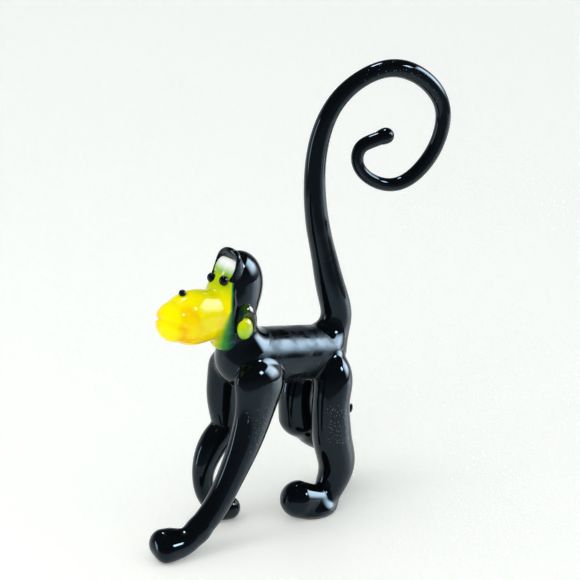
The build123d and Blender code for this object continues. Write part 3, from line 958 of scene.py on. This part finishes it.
def ear_glass(colours):
    """Dark green glass over black: nearly black where it is thick."""
    material, tree, shader, place = glass("Dark olive green glass over black", 0.04)
    ahead = head_place(tree)[0]
    clouds = add_node(tree, "ShaderNodeTexNoise", inputs={
        "Vector": place, "Scale": 0.5, "Detail": 1.0,
    })
    deep = add_node(tree, "ShaderNodeMath", SCALE_AND_ADD, {
        0: clouds.outputs["Fac"], 1: 1.2, 2: ahead,
    })
    code = ramp(tree, deep.outputs[0], (
        (1.6, colours.black), (2.8, linear("#1C3204")), (3.9, colours.olive),
        (5.0, linear("#0C2A1C"))))
    tree.links.new(code, shader.inputs["Base Color"])
    return material


def lobe_glass(colours):
    """Yellow-green glass: yellower on top, where it is thicker."""
    material, tree, shader, place = glass("Yellow-green glass", 0.06)
    up = head_place(tree)[2]
    clouds = add_node(tree, "ShaderNodeTexNoise", inputs={
        "Vector": place, "Scale": 0.4, "Detail": 1.0,
    })
    high = add_node(tree, "ShaderNodeMath", SCALE_AND_ADD, {
        0: clouds.outputs["Fac"], 1: 1.5, 2: up,
    })
    code = ramp(tree, high.outputs[0], (
        (-9.9, linear("#5E9A22")), (-8.8, linear("#8CBE14")), (-7.2, linear("#B4D40A")),
        (-5.4, linear("#D6DE00"))))
    tree.links.new(code, shader.inputs["Base Color"])
    return material


def speck_glass(colours):
    """Grey dust of burnt glass that the flame left on the skin."""
    material, _, shader, _ = glass("Grey dust of burnt glass", 0.4)
    shader.inputs["Base Color"].default_value = linear("#8C989C")
    return material


MAKERS = {
    "black": black_glass, "trunk": trunk_glass, "foot": foot_glass, "muzzle": muzzle_glass,
    "face": face_glass, "patch": patch_glass, "ear": ear_glass, "lobe": lobe_glass,
    "speck": speck_glass,
}
MATERIALS = {}


def material_of(key, context):
    """A material by its short name, made once."""
    if key not in MATERIALS:
        MATERIALS[key] = MAKERS[key](context.scene.monkey_colours)
    return MATERIALS[key]


def mark_head(piece, body):
    """Gives each vertex its place on the head: ahead, to the left and up, in millimetres."""
    middle = body.head_point(0, 0, 0)
    ways = [body.head_point(*row) - middle for row in np.eye(3)]
    spots = np.empty(len(piece.data.vertices) * 3)
    piece.data.vertices.foreach_get("co", spots)
    marks = (spots.reshape(-1, 3) / MM - middle) @ np.array(ways).T
    layer = piece.data.attributes.new("head", "FLOAT_VECTOR", "POINT")
    layer.data.foreach_set("vector", marks.ravel())
    return piece


def new_tree(name, sockets):
    """A Geometry Nodes tree with named inputs, and its input and output nodes."""
    tree = bpy.data.node_groups.new(name, "GeometryNodeTree")
    tree.interface.new_socket(name="Geometry", in_out="INPUT", socket_type="NodeSocketGeometry")
    for label, kind in sockets:
        tree.interface.new_socket(name=label, in_out="INPUT", socket_type="NodeSocket" + kind)
    tree.interface.new_socket(name="Geometry", in_out="OUTPUT", socket_type="NodeSocketGeometry")
    return tree, add_node(tree, "NodeGroupInput").outputs


def end_tree(tree, shape, material):
    """Ends a tree: instances made real, and the material set."""
    real = add_node(tree, "GeometryNodeRealizeInstances", inputs={"Geometry": shape})
    painted = add_node(tree, "GeometryNodeSetMaterial", inputs={
        "Geometry": real.outputs[0], "Material": material,
    })
    add_node(tree, "NodeGroupOutput", inputs={"Geometry": painted.outputs[0]})


def grow(piece, tree, values):
    """Runs a tree on a piece with the values of its named inputs, and keeps the new mesh."""
    modifier = piece.modifiers.new(tree.name, "NODES")
    modifier.node_group = tree
    for item in tree.interface.items_tree:
        if item.name in values:
            modifier[item.identifier] = values[item.name]
    bpy.context.view_layer.update()
    ready = piece.evaluated_get(bpy.context.evaluated_depsgraph_get())
    mesh = bpy.data.meshes.new_from_object(ready)
    mesh.name = piece.name
    piece.modifiers.clear()
    piece.data = mesh


def drawn_rod_tree():
    """A tree that draws a rod along a line, as thick as its radius there, with a slow waver."""
    tree, given = new_tree("Drawn rod", (
        ("Sides", "Int"), ("Waver", "Float"), ("Seed", "Int"), ("Material", "Material")))
    line = add_node(tree, "GeometryNodeMeshToCurve", inputs={"Mesh": given["Geometry"]})
    radius = add_node(tree, "GeometryNodeInputNamedAttribute", {"data_type": "FLOAT"},
                      {"Name": "radius"})
    noise = add_node(tree, "ShaderNodeTexNoise", {"noise_dimensions": "4D"}, {
        "W": given["Seed"], "Scale": 160.0, "Detail": 0.0,
    })
    middle = add_node(tree, "ShaderNodeMath", {"operation": "SUBTRACT"},
                      {0: noise.outputs[0], 1: 0.5})
    share = add_node(tree, "ShaderNodeMath", SCALE_AND_ADD,
                     {0: middle.outputs[0], 1: given["Waver"], 2: 1.0})
    # The waver counts twice over, so that the swellings show
    full = radius.outputs["Attribute"]
    for _ in range(2):
        full = add_node(tree, "ShaderNodeMath", MULTIPLY,
                        {0: full, 1: share.outputs[0]}).outputs[0]
    ring = add_node(tree, "GeometryNodeCurvePrimitiveCircle", inputs={
        "Resolution": given["Sides"], "Radius": 1.0,
    })
    tube = add_node(tree, "GeometryNodeCurveToMesh", inputs={
        "Curve": line.outputs[0], "Profile Curve": ring.outputs[0], "Scale": full,
        "Fill Caps": True,
    })
    end_tree(tree, tube.outputs[0], given["Material"])
    return tree


def dusted_tree():
    """A tree that sprinkles specks on the skin inside a box."""
    tree, given = new_tree("Dusted skin", (
        ("Low", "Vector"), ("High", "Vector"), ("Density", "Float"), ("Speck", "Float"),
        ("Seed", "Int"), ("Material", "Material")))
    spot = add_node(tree, "GeometryNodeInputPosition")
    above = add_node(tree, "FunctionNodeCompare",
                     {"data_type": "VECTOR", "mode": "ELEMENT", "operation": "GREATER_THAN"})
    below = add_node(tree, "FunctionNodeCompare",
                     {"data_type": "VECTOR", "mode": "ELEMENT", "operation": "LESS_THAN"})
    for node, limit in ((above, "Low"), (below, "High")):
        sockets = [socket for socket in node.inputs if socket.type == "VECTOR"]
        tree.links.new(spot.outputs[0], sockets[0])
        tree.links.new(given[limit], sockets[1])
    both = add_node(tree, "FunctionNodeBooleanMath", {"operation": "AND"},
                    {0: above.outputs[0], 1: below.outputs[0]})
    points = add_node(tree, "GeometryNodeDistributePointsOnFaces", inputs={
        "Mesh": given["Geometry"], "Selection": both.outputs[0], "Density": given["Density"],
        "Seed": given["Seed"],
    })
    speck = add_node(tree, "GeometryNodeMeshIcoSphere", inputs={
        "Radius": given["Speck"], "Subdivisions": 2,
    })
    scale = add_node(tree, "FunctionNodeRandomValue", {"data_type": "FLOAT_VECTOR"}, {
        0: (0.3, 0.5, 0.25), 1: (1.0, 2.2, 0.5), "Seed": given["Seed"],
    })
    spread = add_node(tree, "GeometryNodeInstanceOnPoints", inputs={
        "Points": points.outputs["Points"], "Instance": speck.outputs[0],
        "Rotation": points.outputs["Rotation"], "Scale": scale.outputs[0],
    })
    end_tree(tree, spread.outputs[0], given["Material"])
    return tree


SPECK_RADIUS = 0.055


def dust(context, piece, name, low, high, density, seed):
    """Specks of dust, so many to a square millimetre, on a piece's skin from low to high."""
    specks = bpy.data.objects.new(name, piece.data.copy())
    context.scene.collection.objects.link(specks)
    grow(specks, dusted_tree(), {
        "Low": [value * MM for value in low], "High": [value * MM for value in high],
        "Density": density / MM ** 2, "Speck": SPECK_RADIUS * MM, "Seed": seed,
        "Material": material_of("speck", context),
    })
    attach(specks, "root")


class GLASS_OT_trunk(bpy.types.Operator):
    """Makes the trunk and the neck"""

    bl_idname = "glass.trunk"
    bl_label = "Trunk and neck"

    def execute(self, context):
        body = body_of(context)
        black = material_of("black", context)
        finish_piece(skin("trunk", body.trunk), material_of("trunk", context), "black_glass",
                     "torso")
        neck = fused(body.neck, [body.trunk], 2.2)
        finish_piece(skin("neck_glass", neck), black, "black_glass", "neck")
        return {"FINISHED"}


class GLASS_OT_arms(bpy.types.Operator):
    """Makes both arms and their paws"""

    bl_idname = "glass.arms"
    bl_label = "Arms and paws"

    def execute(self, context):
        body = body_of(context)
        black = material_of("black", context)
        paw = grounded(melted(body.near_paw, body.far_paw, 1.8))
        # CAD node and form
        pieces = (
            ("left_arm", grounded(fused(body.left_arm, [body.trunk], 0.9))),
            ("left_hand", fused(paw, [body.left_arm], 1.2)),
            ("right_upper_arm", fused(body.right_upper_arm, [body.trunk], 1.5)),
            ("right_forearm", grounded(
                fused(body.right_forearm, [body.right_upper_arm], 0.6))),
            ("right_hand", grounded(fused(body.right_paw, [body.right_forearm], 1.2))),
        )
        for node, form in pieces:
            piece = skin(node + "_glass", form)
            finish_piece(piece, black, "black_glass", node)
            if node == "left_arm":
                dust(context, piece, "arm_dust", (5, -17, 19), (20, -9, 31), density=0.9, seed=3)
        return {"FINISHED"}


class GLASS_OT_legs(bpy.types.Operator):
    """Makes both legs and their feet"""

    bl_idname = "glass.legs"
    bl_label = "Legs and feet"

    def execute(self, context):
        body = body_of(context)
        black = material_of("black", context)
        # CAD node and form
        pieces = (
            ("left_leg", grounded(
                melted(fused(body.left_leg, [body.trunk], 0.8), body.nib, 0.4))),
            ("left_foot", grounded(
                fused(melted(body.left_foot, body.heel, 1.2), [body.left_leg], 1.0))),
            ("right_thigh", fused(body.right_thigh, [body.trunk], 2.0)),
            ("right_shin", grounded(fused(body.right_shin, [body.right_thigh], 1.5))),
            ("right_foot", grounded(fused(body.right_foot, [body.right_shin], 1.0))),
        )
        for node, form in pieces:
            material = material_of("foot", context) if node == "left_foot" else black
            piece = skin(node + "_glass", form)
            finish_piece(piece, material, "black_glass", node)
            if node == "left_leg":
                dust(context, piece, "leg_dust", (7, 5.5, 16.5), (20, 12, 26), density=2.4, seed=5)
        return {"FINISHED"}


class GLASS_OT_tail(bpy.types.Operator):
    """Makes the curled tail and its knob"""

    bl_idname = "glass.tail"
    bl_label = "Tail"

    def execute(self, context):
        body = body_of(context)
        black = material_of("black", context)
        along, length = flowing(body.tail_rows)
        values = along(np.linspace(0, length, TAIL_STEPS))[0] * MM
        mesh = bpy.data.meshes.new("tail_line")
        links = [(place, place + 1) for place in range(TAIL_STEPS - 1)]
        mesh.from_pydata(values[:, :3], links, [])
        mesh.attributes.new("radius", "FLOAT", "POINT").data.foreach_set("value", values[:, 3])
        tail = bpy.data.objects.new("tail_glass", mesh)
        context.scene.collection.objects.link(tail)
        grow(tail, drawn_rod_tree(), {
            "Sides": 48, "Waver": 0.03, "Seed": 4, "Material": black,
        })
        tail.data.polygons.foreach_set(
            "use_smooth", [len(face.vertices) == 4 for face in tail.data.polygons])
        finish_piece(tail, black, "black_glass", "tail")
        top = body.tail_rows[8]
        dust(context, tail, "tail_dust", (-20, top[1], top[2] - 8),
             (20, top[1] + 16, top[2] + 8), density=0.7, seed=7)
        root = fused(body.tail_root, [body.trunk], 3.5)
        finish_piece(skin("tail_root", root), black, "black_glass")
        end = np.array(body.tail_rows[-1][:3])
        way = end - np.array(body.tail_rows[-2][:3])
        way /= np.linalg.norm(way)
        knob = egg(end + way * 1.3, (1.85, 1.85, 1.8))
        finish_piece(skin("knob", fused(knob, [body.tail], 0.8), 0.2), black, "black_glass",
                     "tail_knob")
        return {"FINISHED"}


class GLASS_OT_head(bpy.types.Operator):
    """Makes the head: hood, face, muzzle, brow, forehead patch, nose, ears and eyes"""

    bl_idname = "glass.head"
    bl_label = "Head"

    def execute(self, context):
        body = body_of(context)
        black = material_of("black", context)
        hood = fused(body.hood, [body.neck], 3.0)
        finish_piece(skin("hood", hood), black, "black_glass", "head_hood")
        face = fused(body.face, [body.neck], 1.0)
        muzzle = fused(pressed(body.muzzle, body.mouth, 0.4), [body.face], 1.6)
        brow = fused(body.brow, [body.hood], 0.6)
        # Object, form, spacing of its net in millimetres, material, slot and CAD node
        pieces = [
            ("face", face, 0.25, "face", "yellow_green_glass", "face_core"),
            ("muzzle_glass", muzzle, 0.25, "muzzle", "yellow_glass", "muzzle"),
            ("brow", brow, 0.2, "black", "black_glass", "brow_band"),
            ("patch", body.patch, 0.15, "patch", "white_glass", "forehead_patch"),
            ("nose_dot", body.nose, 0.12, "black", "black_glass", "nose_bead"),
        ]
        for name, ear, lobe, eye in zip(("left", "right"), body.ears, body.lobes, body.eyes):
            shell = fused(ear, [body.neck, body.hood], 0.4)
            pieces.append((name + "_shell", shell, 0.18, "ear", "dark_green_glass",
                           name + "_ear_shell"))
            pieces.append((name + "_lobe", lobe, 0.18, "lobe", "lime_green_glass",
                           name + "_ear_lobe"))
            pieces.append((name + "_eye_bead", eye, 0.12, "black", "black_glass",
                           name + "_eye"))
        for name, form, step, key, slot, node in pieces:
            piece = mark_head(skin(name, form, step), body)
            finish_piece(piece, material_of(key, context), slot, node)
        return {"FINISHED"}


# The view that the studio is set round: its azimuth from the front toward the animal's left, and
# its elevation, in degrees
AZIMUTH = 50
ELEVATION = 20

# The floor, in metres: how far it is solid to the camera, to the left and to the right of the
# view, the strip beyond in which it fades out, and how far it goes on behind
FLOOR_FRONT, FLOOR_LEFT, FLOOR_RIGHT = 0.085, 0.16, 0.28
FLOOR_FADE = 0.09
FLOOR_REAR = 0.9

# Lamps: name, direction, distance and width in metres, watts. They look at a place in metres
LAMPS = (
    ("key", (-0.1, -0.565, 0.819), 0.7, 0.3, 0.9),
    ("fill", (0.5, -0.82, 0.28), 0.7, 0.4, 1.3),
)
LAMP_TARGET = Vector((0, 0, 0.05))

# The camera's lens in millimetres, the place that it looks at and its distance, in metres
LENS = 177.2
TARGET = Vector((-0.00031, 0.00181, 0.0518))
DISTANCE = 0.621

# Softboxes that the glass reflects: azimuth and elevation, half width and half height, all in
# degrees, the soft shares of the sides and of the bottom, and brightness
WINDOWS = (
    (156, 17, 24, 20, 0.4, 0.5, 20.0),
    (122, 36, 6, 6, 0.2, 0.2, 44.0),
    (-118, 68, 6, 6, 0.2, 0.2, 40.0),
    (-34, 4, 6, 18, 0.3, 0.3, 8.0),
)
WINDOW_TOP_SOFT = 0.12
LEAST_AHEAD = 0.05


def ways_of(azimuth, elevation):
    """The ways ahead, to the right and over, for an azimuth and an elevation in degrees."""
    azimuth, elevation = math.radians(azimuth), math.radians(elevation)
    level = Vector((math.sin(azimuth), -math.cos(azimuth), 0))
    ahead = level * math.cos(elevation) + Vector((0, 0, math.sin(elevation)))
    right = Vector((math.cos(azimuth), math.sin(azimuth), 0))
    return ahead, right, ahead.cross(right)


class GLASS_OT_stage(bpy.types.Operator):
    """Makes the floor, the studio, the lamps and the camera"""

    bl_idname = "glass.stage"
    bl_label = "Stage"

    def execute(self, context):
        make_floor(context)
        make_world(context)
        for name, way, distance, width, watts in LAMPS:
            add_lamp(context, name, way, distance, width, watts)
        add_camera(context)
        context.scene.view_settings.view_transform = "Standard"
        return {"FINISHED"}


def make_floor(context):
    """A pale floor that fades out toward the camera and to both sides."""
    toward, across, _ = ways_of(AZIMUTH, 0)
    front, rear = toward * (FLOOR_FRONT + FLOOR_FADE), -toward * FLOOR_REAR
    left, right = -across * (FLOOR_LEFT + FLOOR_FADE), across * (FLOOR_RIGHT + FLOOR_FADE)
    mesh = bpy.data.meshes.new("paper_floor")
    mesh.from_pydata([front + left, front + right, rear + right, rear + left], [],
                     [(0, 1, 2, 3)])
    floor = bpy.data.objects.new("paper_floor", mesh)
    context.scene.collection.objects.link(floor)
    mesh.materials.append(floor_material(context.scene.monkey_colours))


def floor_material(colours):
    """Milky acrylic with a painted glow of its own, no lamp under it: an even pale sheet, weak
    shadows.
    """
    material = bpy.data.materials.new("White opal acrylic sheet, with a painted glow")
    material.use_nodes = True
    tree = material.node_tree
    shader = tree.nodes["Principled BSDF"]
    place = add_node(tree, "ShaderNodeTexCoord").outputs["Object"]
    grain = add_node(tree, "ShaderNodeTexNoise", inputs={
        "Vector": place, "Scale": 900.0, "Detail": 2.0,
    })
    bump = add_node(tree, "ShaderNodeBump", inputs={
        "Strength": 0.1, "Distance": 0.02 * MM, "Height": grain.outputs[0],
    })
    tree.links.new(bump.outputs["Normal"], shader.inputs["Normal"])
    # The emission is a painted glow: the sheet shines by itself and lightens the shadows on it
    for name, value in (("Base Color", colours.floor), ("Roughness", 0.35),
                        ("Emission Color", colours.floor), ("Emission Strength", 0.24)):
        shader.inputs[name].default_value = value
    toward, across, _ = ways_of(AZIMUTH, 0)
    solid = 1.0
    for side, limit in ((toward, FLOOR_FRONT), (-across, FLOOR_LEFT), (across, FLOOR_RIGHT)):
        reach = add_node(tree, "ShaderNodeVectorMath", DOT, {0: place, 1: side})
        share = add_node(tree, "ShaderNodeMapRange", SMOOTH_RANGE, {
            "Value": reach.outputs["Value"], "From Min": limit + FLOOR_FADE, "From Max": limit,
        })
        solid = add_node(tree, "ShaderNodeMath", MULTIPLY,
                         {0: share.outputs[0], 1: solid}).outputs[0]
    tree.links.new(solid, shader.inputs["Alpha"])
    return material


def make_world(context):
    """A white room for what looks at it straight, and a dark studio with softboxes in glass."""
    world = bpy.data.worlds.new("Studio")
    context.scene.world = world
    world.use_nodes = True
    tree = world.node_tree
    tree.nodes.clear()
    place = add_node(tree, "ShaderNodeTexCoord").outputs["Generated"]
    way = add_node(tree, "ShaderNodeSeparateXYZ", inputs={"Vector": place})

    # In glass: a dark room, brighter below, and the pale backdrop low down behind the figurine
    behind = add_node(tree, "ShaderNodeVectorMath", DOT,
                      {0: place, 1: -ways_of(AZIMUTH, 0)[0]})
    low = add_node(tree, "ShaderNodeMapRange", inputs={
        "Value": way.outputs["Z"], "From Min": 0.42, "From Max": 0.25,
    })
    back = add_node(tree, "ShaderNodeMapRange", inputs={
        "Value": behind.outputs["Value"], "From Min": 0.05, "From Max": 0.45,
    })
    card = add_node(tree, "ShaderNodeMath", MULTIPLY, {0: low.outputs[0], 1: back.outputs[0]})
    room = add_node(tree, "ShaderNodeMapRange", SMOOTH_RANGE, {
        "Value": way.outputs["Z"], "From Min": -0.2, "From Max": 0.5, "To Min": 0.24,
        "To Max": 0.05,
    })
    light = add_node(tree, "ShaderNodeMath", SCALE_AND_ADD,
                     {0: card.outputs[0], 1: 0.6, 2: room.outputs[0]}).outputs[0]
    for azimuth, elevation, wide, high, side_soft, low_soft, bright in WINDOWS:
        ahead, beside, over = [
            add_node(tree, "ShaderNodeVectorMath", DOT, {0: place, 1: axis}).outputs["Value"]
            for axis in ways_of(azimuth, elevation)
        ]
        glow = add_node(tree, "ShaderNodeMath", {"operation": "GREATER_THAN"},
                        {0: ahead, 1: LEAST_AHEAD}).outputs[0]
        for reach, half, low_share, high_share in (
                (beside, wide, side_soft, side_soft), (over, high, low_soft, WINDOW_TOP_SOFT)):
            edge = math.tan(math.radians(half))
            slope = add_node(tree, "ShaderNodeMath", {"operation": "DIVIDE"},
                             {0: reach, 1: ahead})
            for start, soft in ((-edge, low_share), (edge, high_share)):
                share = add_node(tree, "ShaderNodeMapRange", SMOOTH_RANGE, {
                    "Value": slope.outputs[0], "From Min": start,
                    "From Max": start * (1 - 2 * soft),
                })
                glow = add_node(tree, "ShaderNodeMath", MULTIPLY,
                                {0: glow, 1: share.outputs[0]}).outputs[0]
        light = add_node(tree, "ShaderNodeMath", SCALE_AND_ADD,
                         {0: glow, 1: bright, 2: light}).outputs[0]
    cool = add_node(tree, "ShaderNodeVectorMath", {"operation": "SCALE"},
                    {0: (0.90, 0.98, 1.05), "Scale": light})

    # For matt surfaces a sky that is brighter overhead, and for the eye a plain backdrop
    sky = add_node(tree, "ShaderNodeMapRange", inputs={
        "Value": way.outputs["Z"], "From Min": 0.2, "From Max": 0.95, "To Min": 0.6,
        "To Max": 0.8,
    })
    plain = add_node(tree, "ShaderNodeVectorMath", {"operation": "SCALE"},
                     {0: (0.985, 1.0, 0.99), "Scale": sky.outputs[0]})
    rays = add_node(tree, "ShaderNodeLightPath").outputs
    seen = add_node(tree, "ShaderNodeMix", COLOUR_MIX, {
        0: rays["Is Glossy Ray"], 6: plain.outputs[0], 7: cool.outputs[0],
    })
    seen = add_node(tree, "ShaderNodeMix", COLOUR_MIX, {
        0: rays["Is Camera Ray"], 6: seen.outputs[2], 7: (0.93, 0.95, 0.93, 1),
    })
    shine = add_node(tree, "ShaderNodeBackground", inputs={
        "Color": seen.outputs[2], "Strength": 1.0,
    })
    add_node(tree, "ShaderNodeOutputWorld", inputs={"Surface": shine.outputs[0]})


def add_lamp(context, name, way, distance, width, watts):
    """A square lamp that looks at the figurine from a direction, and isn't seen in the glass."""
    data = bpy.data.lights.new(name, "AREA")
    data.shape = "SQUARE"
    data.size = width
    data.energy = watts
    lamp = bpy.data.objects.new(name, data)
    context.scene.collection.objects.link(lamp)
    place = Vector(way).normalized() * distance + LAMP_TARGET
    lamp.location = place
    lamp.rotation_euler = (LAMP_TARGET - place).to_track_quat("-Z", "Y").to_euler()
    lamp.visible_glossy = False


def add_camera(context):
    """The camera, where the picture was taken from."""
    data = bpy.data.cameras.new("Camera")
    data.sensor_width = 36
    data.lens = LENS
    data.clip_start = 0.01
    camera = bpy.data.objects.new("Camera", data)
    context.scene.collection.objects.link(camera)
    context.scene.camera = camera
    back = ways_of(AZIMUTH, ELEVATION)[0]
    camera.location = TARGET + back * DISTANCE
    camera.rotation_euler = (-back).to_track_quat("-Z", "Y").to_euler()


OPERATORS = (GLASS_OT_trunk, GLASS_OT_arms, GLASS_OT_legs, GLASS_OT_tail, GLASS_OT_head,
             GLASS_OT_stage)


class GLASS_PT_monkey(bpy.types.Panel):
    """Lists the steps that make the glass monkey"""

    bl_label = "Glass monkey"
    bl_space_type = "VIEW_3D"
    bl_region_type = "UI"
    bl_category = "Glass"

    def draw(self, context):
        for item in OPERATORS:
            self.layout.operator(item.bl_idname)
        for group in (context.scene.monkey_sizes, context.scene.monkey_colours):
            for key in group.bl_rna.properties.keys():
                if key not in ("rna_type", "name"):
                    self.layout.prop(group, key)


CLASSES = (MonkeySizes, MonkeyColours, *OPERATORS, GLASS_PT_monkey)


def register():
    """Registers the classes and the settings that they read."""
    for item in CLASSES:
        bpy.utils.register_class(item)
    bpy.types.Scene.monkey_sizes = bpy.props.PointerProperty(type=MonkeySizes)
    bpy.types.Scene.monkey_colours = bpy.props.PointerProperty(type=MonkeyColours)


def unregister():
    """Takes the classes and settings away again."""
    del bpy.types.Scene.monkey_sizes
    del bpy.types.Scene.monkey_colours
    for item in reversed(CLASSES):
        bpy.utils.unregister_class(item)


def main():
    """Makes the whole figurine and its studio."""
    register()
    bpy.ops.glass.trunk()
    bpy.ops.glass.arms()
    bpy.ops.glass.legs()
    bpy.ops.glass.tail()
    bpy.ops.glass.head()
    bpy.ops.glass.stage()


if __name__ == "__main__":
    main()
